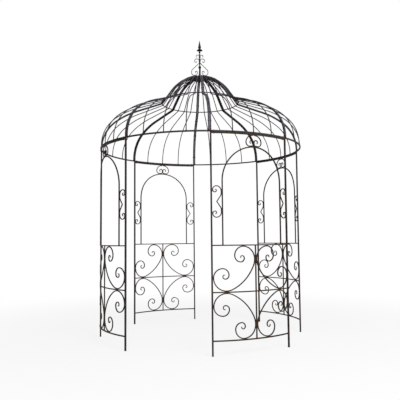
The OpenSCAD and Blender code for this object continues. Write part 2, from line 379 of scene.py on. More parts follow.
def grown(name, source, tree, values):
    """Runs a tree on a source mesh and keeps the result as a plain mesh."""
    maker = put(name + "_maker", source)
    modifier = maker.modifiers.new("make", "NODES")
    modifier.node_group = tree
    for item in tree.interface.items_tree:
        if item.in_out == "INPUT" and item.name in values:
            modifier[item.identifier] = values[item.name]
    graph = bpy.context.evaluated_depsgraph_get()
    mesh = bpy.data.meshes.new_from_object(
        maker.evaluated_get(graph), preserve_all_data_layers=True, depsgraph=graph)
    mesh.name = name
    bpy.data.objects.remove(maker)
    return put(name, mesh)


def give(mesh, name, kind, values):
    attribute = mesh.attributes.new(name, kind, "POINT")
    if kind == "FLOAT":
        attribute.data.foreach_set("value", values)
    else:
        attribute.data.foreach_set("vector", [c for v in values for c in v])


CUT_END_EASE = 0.0015
CUT_END_SHARE = 0.8
PLAIN_TIPS = ((0, 1), (0, 1))


def drawn_down(points, tips):
    """How full the bar is at each point. tips holds (length, share) for each end; the cut ends are eased."""
    away = [0.0]
    for (a, _), (b, _) in zip(points, points[1:]):
        away.append(away[-1] + (b - a).length)
    total = away[-1]
    shares = []
    for along in away:
        share = 1.0
        for gone, (length, tip) in zip((along, total - along), tips):
            if length and gone < length:
                share *= tip + (1 - tip) * math.sin(gone / length * math.pi / 2)
        shares.append(share)
    shares[0] *= CUT_END_SHARE
    shares[-1] *= CUT_END_SHARE
    return shares


def with_eased_ends(points):
    """Adds a point close to each end, where the cut end's rounding starts."""
    first, second = points[0][0], points[1][0]
    last, before = points[-1][0], points[-2][0]
    head = first.lerp(second, min(0.5, CUT_END_EASE / (second - first).length))
    tail = last.lerp(before, min(0.5, CUT_END_EASE / (before - last).length))
    return [points[0], (head, points[0][1]), *points[1:-1], (tail, points[-1][1]), points[-1]]


def bars(name, lines, width, finish, corner=0.0015, waver=0.0005,
         is_round=False, tips=PLAIN_TIPS, closed=False):
    """Bars along the lines, all of one section."""
    verts, edges, outs, fulls = [], [], [], []
    for line in lines:
        if not closed:
            line = with_eased_ends(line)
        first = len(verts)
        verts += [place for place, _ in line]
        outs += [out for _, out in line]
        fulls += [1.0] * len(line) if closed else drawn_down(line, tips)
        edges += [(first + k, first + k + 1) for k in range(len(line) - 1)]
        if closed:
            edges.append((first + len(line) - 1, first))
    source = bpy.data.meshes.new(name + "_lines")
    source.from_pydata(verts, edges, [])
    give(source, "out", "FLOAT_VECTOR", outs)
    give(source, "full", "FLOAT", fulls)
    seed = Vector((len(name) * 1.7, sum(map(ord, name)) * 0.13, 0.0))
    return grown(name, source, BENT_BAR, {
        "Width": width, "Corner": corner, "Round": is_round,
        "Waver": waver, "Seed": seed, "Finish": finish,
    })


def on_points(name, points, tree, values):
    """points holds (place, along, out, size) for each bead or bolt."""
    source = bpy.data.meshes.new(name + "_points")
    source.from_pydata([p[0] for p in points], [], [])
    for k, label in enumerate(("along", "out", "size"), 1):
        give(source, label, "FLOAT_VECTOR", [p[k] for p in points])
    return grown(name, source, tree, values)


# ---------------------------------------------------------------- finishes

# The way that the side painted lighter faces, about towards the key lamp: painted light
PAINTED_LIGHT_SIDE = (0.59, -0.62, 0.52)
UPWARD = (0.0, 0.0, 1.0)
PATCH_SCALE = 20.0
DARK_PATCH = 0.6
BUMP_DEPTH = 0.0012


def put_out(tree, end, **values):
    """Sends each value to the output of that name."""
    for name, value in values.items():
        tree.links.new(value, end.inputs[name])


def ramp(tree, value, low, high, to_low=0.0, to_high=1.0):
    made = add(tree, "ShaderNodeMapRange", {
        "Value": value, "From Min": low, "From Max": high, "To Min": to_low, "To Max": to_high,
    }, interpolation_type="SMOOTHSTEP")
    return made.outputs[0]


def times(tree, a, b):
    return maths(tree, "MULTIPLY", a, b)


def plus(tree, a, b):
    return maths(tree, "ADD", a, b)


def mix(tree, factor, a, b):
    return add(tree, "ShaderNodeMix", {0: factor, 6: a, 7: b}, data_type="RGBA").outputs[2]


def speckle(tree, scale, detail, roughness):
    """Noise over the piece, finer where the scale is larger."""
    place = add(tree, "ShaderNodeTexCoord")
    return add(tree, "ShaderNodeTexNoise", {
        "Vector": place.outputs["Object"], "Scale": scale, "Detail": detail, "Roughness": roughness,
    }).outputs[0]


def facing(tree, way):
    """How far a face looks that way, from 1 straight along it to -1 straight back."""
    face = add(tree, "ShaderNodeNewGeometry")
    turned = add(tree, "ShaderNodeVectorMath", {0: face.outputs["Normal"], 1: way}, operation="DOT_PRODUCT")
    return turned.outputs["Value"]


def painted_light_and_tone_group():
    """Painted light on faces turned towards the key lamp and on top faces, a share that grows towards the
    bottom, and broad uneven patches.
    """
    tree, given, end = new_tree("painted_light_and_tone", "ShaderNodeTree", [
        ("Patch Scale", "NodeSocketFloat", 6.0),
        ("Painted Top Light", "NodeSocketFloat", 0.85),
    ], [("Sky", "NodeSocketFloat"), ("Ground", "NodeSocketFloat"), ("Patches", "NodeSocketFloat")])
    place = add(tree, "ShaderNodeTexCoord")
    parts = add(tree, "ShaderNodeSeparateXYZ", {0: place.outputs["Object"]})
    # Painted light: faces turned towards the key lamp, and upward faces, get a mask that paints them lighter
    toward_painted_light, upward = facing(tree, PAINTED_LIGHT_SIDE), facing(tree, UPWARD)
    not_under = ramp(tree, upward, -0.45, -0.05)
    side = times(tree, ramp(tree, toward_painted_light, 0.15, 0.95), not_under)
    top = times(tree, ramp(tree, upward, -0.15, 0.75), given.outputs["Painted Top Light"])
    sky = maths(tree, "MAXIMUM", side, top)
    # A share that grows towards the bottom, from 1.25 m down to 0.15 m
    towards_bottom = ramp(tree, parts.outputs["Z"], 1.25, 0.15)
    patches = ramp(tree, speckle(tree, given.outputs["Patch Scale"], 9.0, 0.78), 0.38, 0.62)
    put_out(tree, end, Sky=sky, Ground=towards_bottom, Patches=patches)
    return tree


def rust_group():
    """Rust that comes through in spots and spreads from the welds."""
    tree, given, end = new_tree("rust", "ShaderNodeTree", [
        ("Spot Scale", "NodeSocketFloat", 55.0),
        ("Amount", "NodeSocketFloat", 0.3),
    ], [("Mask", "NodeSocketFloat"), ("Grain", "NodeSocketFloat")])
    broad = speckle(tree, given.outputs["Spot Scale"], 6.0, 0.7)
    fine = speckle(tree, 420.0, 3.0, 0.6)
    near = add(tree, "ShaderNodeAttribute", attribute_name="near_weld")
    spread = times(tree, near.outputs["Fac"], 0.35)
    level = maths(tree, "ADD", given.outputs["Amount"], spread, use_clamp=True)
    start = maths(tree, "SUBTRACT", 0.92, level)
    stop = plus(tree, start, 0.16)
    value = plus(tree, times(tree, broad, 0.8), times(tree, fine, 0.2))
    put_out(tree, end, Mask=ramp(tree, value, start, stop), Grain=fine)
    return tree


def forged_group():
    """Hammer marks and mill scale, as a height."""
    tree, given, end = new_tree("forged_skin", "ShaderNodeTree", [
        ("Mark Scale", "NodeSocketFloat", 90.0),
    ], [("Height", "NodeSocketFloat")])
    place = add(tree, "ShaderNodeTexCoord")
    marks = add(tree, "ShaderNodeTexVoronoi", {
        "Vector": place.outputs["Object"], "Scale": given.outputs["Mark Scale"], "Smoothness": 0.8,
    }, feature="SMOOTH_F1")
    scale = speckle(tree, 240.0, 4.0, 0.65)
    height = plus(tree, times(tree, marks.outputs["Distance"], 0.6), times(tree, scale, 0.4))
    put_out(tree, end, Height=height)
    return tree


def rubbed_group():
    """Corners where the coat is rubbed off the iron."""
    tree, given, end = new_tree("rubbed_edges", "ShaderNodeTree", [
        ("Amount", "NodeSocketFloat", 0.4),
    ], [("Mask", "NodeSocketFloat")])
    corner = add(tree, "ShaderNodeAttribute", attribute_name="edge")
    broken = ramp(tree, speckle(tree, 85.0, 5.0, 0.7), 0.42, 0.62)
    mask = times(tree, times(tree, corner.outputs["Fac"], broken), given.outputs["Amount"])
    put_out(tree, end, Mask=mask)
    return tree


def use(tree, group, inputs):
    return add(tree, "ShaderNodeGroup", inputs, node_tree=group)


def colour(red, green, blue):
    """A colour from its 0 to 255 values, as light values."""
    def light(v):
        v /= 255
        return v / 12.92 if v <= 0.04045 else ((v + 0.055) / 1.055) ** 2.4
    return (light(red), light(green), light(blue), 1.0)


def iron(name, coat, painted_lit_colour, low_colour, rust, bare, rust_amount, rubbed, spot_scale=130.0, mark_scale=90.0,
         bump=0.35, painted_top_light=0.85):
    """Old coated iron: painted light makes it lighter on faces towards the key lamp and on top, it takes
    another colour towards the bottom, rusts in spots and is rubbed at corners.
    """
    coat, painted_lit_colour, low_colour, rust, bare = (colour(*shade) for shade in (coat, painted_lit_colour, low_colour, rust, bare))
    material = bpy.data.materials.new(name)
    material.use_nodes = True
    tree = material.node_tree
    tree.nodes.clear()
    painted_light_and_tone = use(tree, PAINTED_LIGHT_AND_TONE, {"Patch Scale": PATCH_SCALE, "Painted Top Light": painted_top_light})
    spots = use(tree, RUST, {"Spot Scale": spot_scale, "Amount": rust_amount})
    skin = use(tree, FORGED, {"Mark Scale": mark_scale})
    corners = use(tree, RUBBED, {"Amount": rubbed})
    # Towards the bottom the coat turns to the low colour
    coated = mix(tree, painted_light_and_tone.outputs["Ground"], coat, low_colour)
    # Painted light: faces towards the key lamp and on top are painted in the lighter lit colour
    lighter = mix(tree, times(tree, painted_light_and_tone.outputs["Sky"], 0.9), coated, painted_lit_colour)
    darker = add(tree, "ShaderNodeHueSaturation", {"Color": lighter, "Value": DARK_PATCH, "Saturation": 1.1})
    uneven = mix(tree, painted_light_and_tone.outputs["Patches"], darker.outputs[0], lighter)
    rusted = mix(tree, spots.outputs["Mask"], uneven, rust)
    worn = mix(tree, corners.outputs["Mask"], rusted, bare)
    rough = add(tree, "ShaderNodeMapRange", {"Value": spots.outputs["Mask"], "To Min": 0.58, "To Max": 0.9})
    shiny = maths(tree, "SUBTRACT", rough.outputs[0], times(tree, corners.outputs["Mask"], 0.22))
    rust_height = times(tree, times(tree, spots.outputs["Mask"], spots.outputs["Grain"]), 0.6)
    height = plus(tree, times(tree, skin.outputs["Height"], 0.7), rust_height)
    bumps = add(tree, "ShaderNodeBump", {"Height": height, "Strength": bump, "Distance": BUMP_DEPTH})
    shader = add(tree, "ShaderNodeBsdfPrincipled", {
        "Base Color": worn, "Roughness": shiny, "Metallic": times(tree, corners.outputs["Mask"], 0.8),
        "Normal": bumps.outputs[0], "Specular IOR Level": 0.08,
    })
    add(tree, "ShaderNodeOutputMaterial", {"Surface": shader.outputs[0]})
    return material


BENT_BAR = bent_bar_tree()
WELD_BEAD = weld_bead_tree()
BOLT = bolt_tree()
PAINTED_LIGHT_AND_TONE = painted_light_and_tone_group()
RUST = rust_group()
FORGED = forged_group()
RUBBED = rubbed_group()

# Each iron's coat, its painted lit colour for faces towards the key lamp and on top (painted light), its
# colour towards the bottom, and its rusted and bare colours
POST_IRON = iron("post_iron", (22, 19, 18), (58, 54, 53), (30, 25, 20), (68, 45, 32), (66, 61, 56),
                 rust_amount=0.35, rubbed=0.3)
RAIL_IRON = iron("rail_iron", (22, 19, 17), (68, 61, 48), (40, 33, 23), (74, 48, 32), (68, 62, 56),
                 rust_amount=0.36, rubbed=0.3)
SCROLL_IRON = iron("scroll_iron", (22, 20, 20), (66, 60, 48), (40, 34, 24), (74, 48, 32), (68, 62, 56),
                   rust_amount=0.36, rubbed=0.25, mark_scale=120.0)
ARCH_IRON = iron("arch_iron", (22, 19, 18), (60, 56, 51), (30, 25, 20), (72, 47, 32), (66, 61, 56),
                 rust_amount=0.35, rubbed=0.25, mark_scale=120.0)
ROOF_IRON = iron("roof_iron", (13, 13, 17), (82, 77, 86), (15, 14, 15), (58, 40, 34), (66, 62, 64),
                 rust_amount=0.30, rubbed=0.2, painted_top_light=0.35)
FINIAL_IRON = iron("finial_iron", (13, 12, 15), (56, 52, 58), (15, 14, 15), (50, 37, 33), (66, 62, 64),
                   rust_amount=0.26, rubbed=0.2, spot_scale=170.0, painted_top_light=0.35)
WELD_IRON = iron("weld_iron", (28, 24, 21), (50, 45, 41), (38, 32, 25), (58, 42, 32), (68, 62, 56),
                 rust_amount=0.36, rubbed=0.0, spot_scale=200.0, bump=0.6)
BOLT_IRON = iron("bolt_iron", (26, 24, 23), (54, 50, 50), (36, 31, 25), (58, 42, 33), (68, 62, 56),
                 rust_amount=0.30, rubbed=0.0, spot_scale=220.0, bump=0.3)

# ---------------------------------------------------------------- welds and bolts, gathered as bars are laid

# Length and thickness of the weld beads
BAR_BEAD = (0.005, 0.0019)
SCROLL_BEAD = (0.009, 0.0022)
CROSSING_BEAD = (0.0045, 0.0019)
ORNAMENT_BEAD = (0.006, 0.0018)
POST_BEAD = (0.006, 0.0022)
ROD_BEAD = (0.004, 0.0017)
ROD_END_BEAD = (0.006, 0.0020)
NECK_BEAD = (0.003, 0.0018)
NECK_BEAD_ASIDE = 0.004
FINIAL_TACK = (0.003, 0.0015)

BOLT_STATIONS = (0.10, 0.42, 0.74, 1.03)
BOLT_HEAD = 0.0052
FULL_SIZE = (1, 1, 1)
RING_BOLT_INSET = 1.6

welds = {}
bolts = []
ring_bolts = []


def weld(where, place, along, out, bead=BAR_BEAD):
    length, thick = bead
    welds.setdefault(where, []).append((Vector(place), Vector(along), Vector(out), (length, thick, thick)))


def weld_round(where, place, axis, out, half, bead=BAR_BEAD):
    """Beads on both faces and both sides of a bar's end, where it meets another bar along axis."""
    axis, out = Vector(axis).normalized(), Vector(out).normalized()
    side = axis.cross(out)
    for way in (-1, 1):
        weld(where, Vector(place) + side * half * way, out, axis, bead)
        weld(where, Vector(place) + out * half * way, side, axis, bead)


# ---------------------------------------------------------------- panels

# The length of a tip that is drawn down, and its thickness as a share of the bar's
SCROLL_TIP = (0.10, 0.72)
CURL_TIP = (0.05, 0.75)
FINIAL_TIP = (0.04, 0.7)
BEAD_BACK = 0.003
ORNAMENT_GAP = 0.0016


def spiral_end(side):
    """A curl that tightens inwards, with a longer turn at its tip."""
    turns = [90] * (len(SPIRAL) - 1) + [120]
    return [(radius, side * turn) for radius, turn in zip(SPIRAL, turns)]


def scroll_line(wide, high):
    """One C-shaped scroll of a lower quarter, from the crossing of the mid rail and the upright bar."""
    touch = (RAIL + SCROLL) / 2
    side = touch + LEAN
    start_y = high - SCROLL / 2 - SPIRAL[0]
    rise = start_y - touch
    reach = wide - POST / 2 - SCROLL / 2 - LEAN - SPIRAL[0] - side
    middle = BACK_BEND * (cosine(BACK_TURN) - sine(BACK_TURN))
    total = (rise + reach - 2 * middle) / (1 - cosine(BACK_TURN) + sine(BACK_TURN))
    difference = (reach - rise) / (sine(BACK_TURN) + cosine(BACK_TURN) - 1)
    back = [
        ((total - difference) / 2, BACK_TURN),
        (BACK_BEND, 90 - 2 * BACK_TURN),
        ((total + difference) / 2, BACK_TURN),
    ]
    return joined(
        bar_line((side, start_y, 90), spiral_end(-1)),
        bar_line((side, start_y, -90), back + spiral_end(1)),
    )


def scroll_welds(where, line, toward, side, up):
    """Tacks where a scroll touches the upright bar, the rails and the post, on both faces."""
    touches = [
        (min(line, key=lambda p: p[0]), (-1, 0)),
        (max(line, key=lambda p: p[0]), (1, 0)),
        (max(line, key=lambda p: p[1]), (0, 1)),
        (min(line, key=lambda p: p[1]), (0, -1)),
    ]
    for (x, y, _), (dx, dy) in touches:
        x += dx * SCROLL / 2
        y += dy * SCROLL / 2
        placed = round_panel([(x, y, 0), (x + dy * 0.01, y + dx * 0.01, 0)], toward, side, MID_RAIL_Z, up)
        place, out = placed[0]
        along = placed[1][0] - place
        for face in (-1, 1):
            weld(where, place + out * face * SCROLL * 0.42, along, out, SCROLL_BEAD)


def make_scrolls(panel, toward):
    lines = []
    above = TOP_RAIL_Z - RAIL / 2 - MID_RAIL_Z
    below = MID_RAIL_Z - BOTTOM_RAIL_Z - BOTTOM_RAIL / 2
    for side in (-1, 1):
        for up, high in ((1, above), (-1, below)):
            line = scroll_line(HALF_WIDTH, high)
            lines.append(round_panel(line, toward, side, MID_RAIL_Z, up))
            scroll_welds(panel, line, toward, side, up)
    piece = bars(panel + "_scroll_bars", lines, SCROLL, SCROLL_IRON, corner=0.0016, waver=0.0006,
                 tips=(SCROLL_TIP, SCROLL_TIP))
    return piece, panel + "_scrolls", "scroll_iron"


COMPANION_GAP = 0.0012


def make_rails(panel, toward):
    """The ring's companion, the three rails and the upright bar."""
    reach = POST_TURN - math.degrees(math.asin(POST / 2 / PLAN))
    levels = ((BOTTOM_RAIL_Z, BOTTOM_RAIL), (MID_RAIL_Z, RAIL), (TOP_RAIL_Z, RAIL), (RING_Z - RING, RING))
    rails = []
    for z, size in levels:
        shown = size - (COMPANION_GAP if size == RING else 0)
        rails.append(bars("rail", [level_arc(toward, reach, PLAN, z - (size - shown) / 2)], shown, RAIL_IRON))
        for side in (-1, 1):
            angle = toward + side * reach
            out = outward(angle)
            along = sideways(out) * side
            if size != RING:
                weld_round(panel, on_circle(out, PLAN, z), along, out, size / 2)
    out = outward(toward)
    low = on_circle(out, PLAN, BOTTOM_RAIL_Z + BOTTOM_RAIL / 2)
    middle = on_circle(out, PLAN, MID_RAIL_Z)
    high = on_circle(out, PLAN, TOP_RAIL_Z - RAIL / 2)
    rails.append(bars("upright", [straight(low, high, out)], RAIL, RAIL_IRON))
    for place in (low, high):
        weld_round(panel, place, (0, 0, 1), out, RAIL / 2)
    across = sideways(out)
    for way in (-1, 1):
        for face in (-1, 1):
            corner = middle + out * face * RAIL * 0.45 + Vector((0, 0, way * RAIL / 2))
            weld(panel, corner, across, out, CROSSING_BEAD)
    return one_piece(panel + "_rail_bars", rails), panel + "_rails", "frame_iron"


def make_arch(panel, toward):
    foot = TOP_RAIL_Z + RAIL / 2
    leg = (ARCH_SPRING_Z - foot, 0)
    line = bar_line((ARCH_HALF, foot, 90), [leg, (ARCH_HALF, 180), leg])
    placed = round_panel(line, toward)
    for place, out in (placed[0], placed[-1]):
        weld_round(panel, place, (0, 0, 1), out, ARCH / 2)
    piece = bars(panel + "_arch_bar", [placed], ARCH, ARCH_IRON, corner=0.0026)
    return piece, panel + "_arch", "frame_iron"


def side_ornament_line(size):
    """One bar bent like a 3, between the arch leg and the post."""
    leg_x = ARCH_HALF + ARCH / 2 + size / 2 - BEDDING / 2
    post_x = HALF_WIDTH - POST / 2 - size / 2 - ORNAMENT_GAP
    wide = post_x - leg_x
    slant = 34
    drop = SIDE_ORNAMENT_BEND_Z - 0.020 - 0.050 * sine(slant)
    curl = [(0.59 * wide, -90), (0.41 * wide, -90), (0.004, 0), (0.020, -90), (0.014, -90), (0.010, -110)]
    point = [(0.020, 0), (0.050, slant), (drop / cosine(slant), 0)]
    upper = joined(bar_line((leg_x, SIDE_ORNAMENT_BEND_Z, 90), curl),
                   bar_line((leg_x, SIDE_ORNAMENT_BEND_Z, -90), point, spacing=0.006))
    return upper + [(x, -y, -heading) for x, y, heading in reversed(upper[:-1])]


def heart_line(size):
    """Half of the heart: down from the ring, in along the arch, up in the middle and out in a curl."""
    top_z = RING_Z - 1.5 * RING - size / 2
    low_bend, low_x, flat_top = 0.036, 0.047, 0.008
    reach = ARCH_HALF + ARCH / 2 + size / 2 + low_bend - BEDDING
    centre_z = ARCH_SPRING_Z + math.sqrt(reach * reach - low_x * low_x)
    top_bend = top_z - centre_z
    tilt = math.degrees(math.asin(low_x / reach))
    stem_x, stem_bend = size / 2 + 0.0001, 0.012
    inward = (low_x - low_bend * sine(tilt) - stem_x - stem_bend * (1 - sine(tilt))) / cosine(tilt)
    return bar_line((low_x + low_bend - top_bend - flat_top, top_z, 0), [
        (flat_top, 0), (top_bend, -90), (low_bend, -90 - tilt), (inward, 0), (stem_bend, tilt - 90),
        (0.022, 0), (0.019, -90), (0.018, -90), (0.014, -70),
    ], spacing=0.008)


def make_ornaments(panel, toward):
    lines = []
    three, curl = side_ornament_line(ORNAMENT), heart_line(ORNAMENT)
    for side in (-1, 1):
        lines.append(round_panel(three, toward, side, SIDE_ORNAMENT_Z))
        lines.append(round_panel(curl, toward, side))
        inner, outer = min(p[0] for p in three), max(p[0] for p in three)
        for x in (inner - ORNAMENT / 2, outer + ORNAMENT / 2):
            for y in (-SIDE_ORNAMENT_BEND_Z, SIDE_ORNAMENT_BEND_Z):
                (place, out), = round_panel([(x, y, 0)], toward, side, SIDE_ORNAMENT_Z)
                weld(panel, place - out * BEAD_BACK, (0, 0, 1), out, ORNAMENT_BEAD)
        lowest = min(curl, key=lambda p: p[1])
        for (x, y, _), step in ((curl[0], ORNAMENT / 2), (lowest, -ORNAMENT / 2)):
            (place, out), = round_panel([(x, y + step, 0)], toward, side)
            weld(panel, place - out * BEAD_BACK, sideways(out), out, ORNAMENT_BEAD)
    threes = bars("threes", lines[0::2], ORNAMENT, ARCH_IRON, corner=0.0014, tips=(CURL_TIP, CURL_TIP))
    curls = bars("curls", lines[1::2], ORNAMENT, ARCH_IRON, corner=0.0014, tips=((0, 1), CURL_TIP))
    return one_piece(panel + "_ornament_bars", [threes, curls]), panel + "_ornaments", "scroll_iron"


def make_post(panel, hand, toward):
    angle = toward + (POST_TURN if hand == "right" else -POST_TURN)
    out = outward(angle)
    top = RING_Z - RING / 2
    line = straight(on_circle(out, PLAN, FOOT_Z), on_circle(out, PLAN, top), out)
    weld_round(panel, on_circle(out, PLAN, top), (0, 0, 1), out, POST / 2, POST_BEAD)
    piece = bars(f"{panel}_{hand}_post_bar", [line], POST, POST_IRON, corner=0.0014, waver=0.0006)
    return piece, f"{panel}_{hand}_post", "frame_iron"


# ---------------------------------------------------------------- roof


EAVE = bar_line((PLAN, RING_Z + RING / 2, 90), [
    (EAVE_RISE, 0),
    (EAVE_BEND, EAVE_TURN),
    (SHOULDER_BEND, 90 - EAVE_TURN - SHOULDER_SLOPE),
])
NECK_TURN = CROWN_SLOPE - SHOULDER_SLOPE
NECK_Z = EAVE[-1][1] + (EAVE[-1][0] - NECK_RADIUS) * math.tan(math.radians(SHOULDER_SLOPE))


def roof_line(end_radius):
    """The roof's line from the ring up to end_radius, as radius and height."""
    neck_cut = NECK_BEND * math.tan(math.radians(NECK_TURN / 2))
    crown_edge = CROWN_BEND * sine(CROWN_SLOPE)
    rest = math.degrees(math.asin(end_radius / CROWN_BEND))
    x, z, heading = EAVE[-1]
    return EAVE[:-1] + bar_line((x, z, heading), [
        ((x - NECK_RADIUS) / cosine(SHOULDER_SLOPE) - neck_cut, 0),
        (NECK_BEND, -NECK_TURN),
        ((NECK_RADIUS - crown_edge) / cosine(CROWN_SLOPE) - neck_cut, 0),
        (CROWN_BEND, CROWN_SLOPE - rest),
    ])


# How far from the axis each bar ends under the hub
RIB_END, MIDDLE_ROD_END, SIDE_ROD_END = 0.036, 0.048, 0.100
ALMOST_AT_AXIS = 0.0001
CROWN_Z = max(z for _, z, _ in roof_line(ALMOST_AT_AXIS))


def make_rib(name, angle):
    line = roof_line(RIB_END)
    pair = [on_roof(line, angle, side * RIB_SHIFT) for side in (-1, 1)]
    for side, placed in zip((-1, 1), pair):
        place, across = placed[0]
        out = outward(angle)
        weld("roof", place + across * side * RIB / 2, out, (0, 0, 1), POST_BEAD)
        for face in (-1, 1):
            weld("roof", place + out * face * RIB / 2, across, (0, 0, 1), POST_BEAD)
    middle = on_roof(line, angle)
    away = 0.0
    stations = list(BOLT_STATIONS)
    for (a, across), (b, _) in zip(middle, middle[1:]):
        step = (b - a).length
        if stations and away + step > stations[0]:
            bolts.append((a, across, (b - a).normalized(), FULL_SIZE))
            stations.pop(0)
        away += step
    piece = bars(f"rib_{name}_bars", pair, RIB, ROOF_IRON, corner=0.0014)
    return piece, f"rib_{name}", "roof_iron"


def make_rods(name, toward):
    lines = []
    for k in (-1, 0, 1):
        angle = toward + k * ROD_TURN
        placed = on_roof(roof_line(MIDDLE_ROD_END if k == 0 else SIDE_ROD_END), angle)
        lines.append(placed)
        place, across = placed[0]
        out = outward(angle)
        weld_round("roof", place, (0, 0, 1), out, ROD / 2, ROD_BEAD)
        end = placed[-1][0]
        for way in (-1, 1):
            low = end + across * way * ROD / 2 - Vector((0, 0, ROD * 0.4))
            weld("roof", low, out, (0, 0, 1), ROD_END_BEAD)
    piece = bars(f"rods_{name}_bars", lines, ROD, ROOF_IRON, is_round=True, waver=0.0003)
    return piece, f"rods_{name}", "roof_iron"


def make_neck_ring():
    """Round lengths that lie on the rods where the roof turns up, from rib to rib."""
    lift_angle = 90 - (SHOULDER_SLOPE + CROWN_SLOPE) / 2
    lift = NECK_BEND * (1 / cosine(NECK_TURN / 2) - 1) + ROD / 2 + NECK_RING / 2
    radius = NECK_RADIUS + lift * cosine(lift_angle)
    z = NECK_Z + lift * sine(lift_angle)
    reach = RIB_TURN - math.degrees(math.asin((RIB + RIB_GAP / 2) / radius))
    lines = []
    for k in range(8):
        lines.append(level_arc(k * 45, reach, radius, z))
        for end in (-1, 1):
            angle = k * 45 + end * reach
            out = outward(angle)
            weld_round("roof", on_circle(out, radius, z), sideways(out), out, NECK_RING / 2, NECK_BEAD)
        for rod in (-1, 0, 1):
            angle = k * 45 + rod * ROD_TURN
            out = outward(angle)
            down = -Vector((out.x * cosine(lift_angle), out.y * cosine(lift_angle), sine(lift_angle)))
            across = sideways(out)
            place = on_circle(out, radius, z) + down * NECK_RING / 2
            for way in (-1, 1):
                weld("roof", place + across * way * NECK_BEAD_ASIDE, down.cross(across), down, NECK_BEAD)
    piece = bars("neck_ring_bars", lines, NECK_RING, ROOF_IRON, is_round=True, waver=0.0003)
    return piece, "neck_ring", "roof_iron"


RING_POINTS = 480
RING_INSET = 0.0002


def make_roof_ring():
    line = []
    for k in range(RING_POINTS):
        out = outward(360 * k / RING_POINTS)
        line.append((on_circle(out, PLAN, RING_Z), out))
    for toward in PANELS.values():
        for turn in (-POST_TURN + RING_BOLT_INSET, 0, POST_TURN - RING_BOLT_INSET):
            out = outward(toward + turn)
            ring_bolts.append((on_circle(out, PLAN, RING_Z - RING / 2), (0, 0, 1), out, FULL_SIZE))
    piece = bars("roof_ring_bar", [line], RING - RING_INSET, ROOF_IRON, corner=0.0015, closed=True)
    return piece, "roof_ring", "roof_iron"


def lathed(name, outline, finish, sides=40):
    """A turned part from its outline of (radius, height), which starts and ends on the axis."""
    mesh = bpy.data.meshes.new(name)
    work = bmesh.new()
    rings = []
    for radius, z in outline:
        if radius < 1e-6:
            rings.append([work.verts.new((0, 0, z))])
        else:
            turns = [360 * k / sides for k in range(sides)]
            rings.append([work.verts.new((radius * cosine(t), radius * sine(t), z)) for t in turns])
    for low, high in zip(rings, rings[1:]):
        for k in range(sides):
            after = (k + 1) % sides
            around = (low[k % len(low)], low[after % len(low)], high[after % len(high)], high[k % len(high)])
            corners = list(dict.fromkeys(around))
            if len(corners) > 2:
                work.faces.new(corners)
    bmesh.ops.recalc_face_normals(work, faces=work.faces)
    for face in work.faces:
        face.smooth = True
    work.to_mesh(mesh)
    work.free()
    mesh.materials.append(finish)
    return put(name, mesh)


BEAD_STEPS = 9


def bead_outline(middle, radius, stem, squash):
    """The outline of a turned bead on a stem."""
    low = math.asin(stem / radius)
    turns = [math.pi - low - (math.pi - 2 * low) * k / BEAD_STEPS for k in range(BEAD_STEPS + 1)]
    return [(radius * math.sin(t), middle + squash * radius * math.cos(t)) for t in turns]


# Radius, and height over the top of the roof's bars, of the cap's profile below its collar
CAP_PROFILE = ((0, -0.006), (0.040, -0.006), (0.0475, 0.0025), (0.0485, 0.0045), (0.0475, 0.0065),
               (0.036, 0.0085), (0.0225, 0.0098), (0.0200, 0.0106))
COLLAR_PROFILE = ((0.0196, -0.0012), (0.0182, 0), (0, 0))
DISH_THICK = 0.0035
DISH_DROP = 0.0045
DISH_RADIUS = 0.1045
DISH_STEPS = 16


def make_hub():
    """A dished plate under the bars' ends, and a cap over them with the finial's collar."""
    outer = CROWN_BEND - DISH_DROP
    inner = outer - DISH_THICK
    centre = CROWN_Z - CROWN_BEND
    rim = math.degrees(math.asin(DISH_RADIUS / outer))
    turns = [rim * k / DISH_STEPS for k in range(DISH_STEPS + 1)]
    under = [(inner * sine(t), centre + inner * cosine(t)) for t in turns]
    over = [(outer * sine(t), centre + outer * cosine(t)) for t in reversed(turns)]
    dish = lathed("dish", under + over, FINIAL_IRON, sides=64)
    cap = [(radius, CROWN_Z + rise) for radius, rise in CAP_PROFILE]
    cap += [(radius, HUB_TOP + rise) for radius, rise in COLLAR_PROFILE]
    cover = lathed("cover", cap, FINIAL_IRON, sides=48)
    return one_piece("hub_plates", [dish, cover]), "hub", "roof_iron"


STEM, THIN_STEM, THIN_FROM = 0.0075, 0.0055, 0.24
# Radius, and height over the saucer's middle, up the saucer and the flare of the spear
SAUCER_DROP = 0.117
SAUCER_PROFILE = ((THIN_STEM, -0.005), (0.010, -0.0038), (0.027, -0.0026), (0.0332, -0.0008),
                  (0.0340, 0.0012), (0.0322, 0.0034), (0.0255, 0.0058), (0.0190, 0.0098),
                  (0.0146, 0.0146), (0.0126, 0.0192), (0.0128, 0.0230), (0.0152, 0.0282),
                  (0.0168, 0.0325), (0.0165, 0.0365))
SPEAR_STEPS = 9


def make_finial():
    """The stem with its beads, the saucer and the spear point, turned as one."""
    base = HUB_TOP
    outline = [
        (0, base - 0.002), (STEM + 0.004, base - 0.002), (STEM + 0.0035, base + 0.002), (STEM, base + 0.005),
    ]
    for height, radius, squash in FINIAL_BEADS:
        stem = STEM if height < THIN_FROM else THIN_STEM
        outline += bead_outline(base + height, radius, stem, squash)
    plate = TIP_Z - SAUCER_DROP
    outline += [(radius, plate + rise) for radius, rise in SAUCER_PROFILE]
    low = plate + SAUCER_PROFILE[-1][1]
    for k in range(1, SPEAR_STEPS):
        share = k / SPEAR_STEPS
        outline.append((0.0157 * (1 - share) + 0.0008, low + (TIP_Z - low) * share))
    outline.append((0, TIP_Z))
    piece = lathed("finial_stem", outline, FINIAL_IRON, sides=32)
    return piece, "finial", "roof_iron"


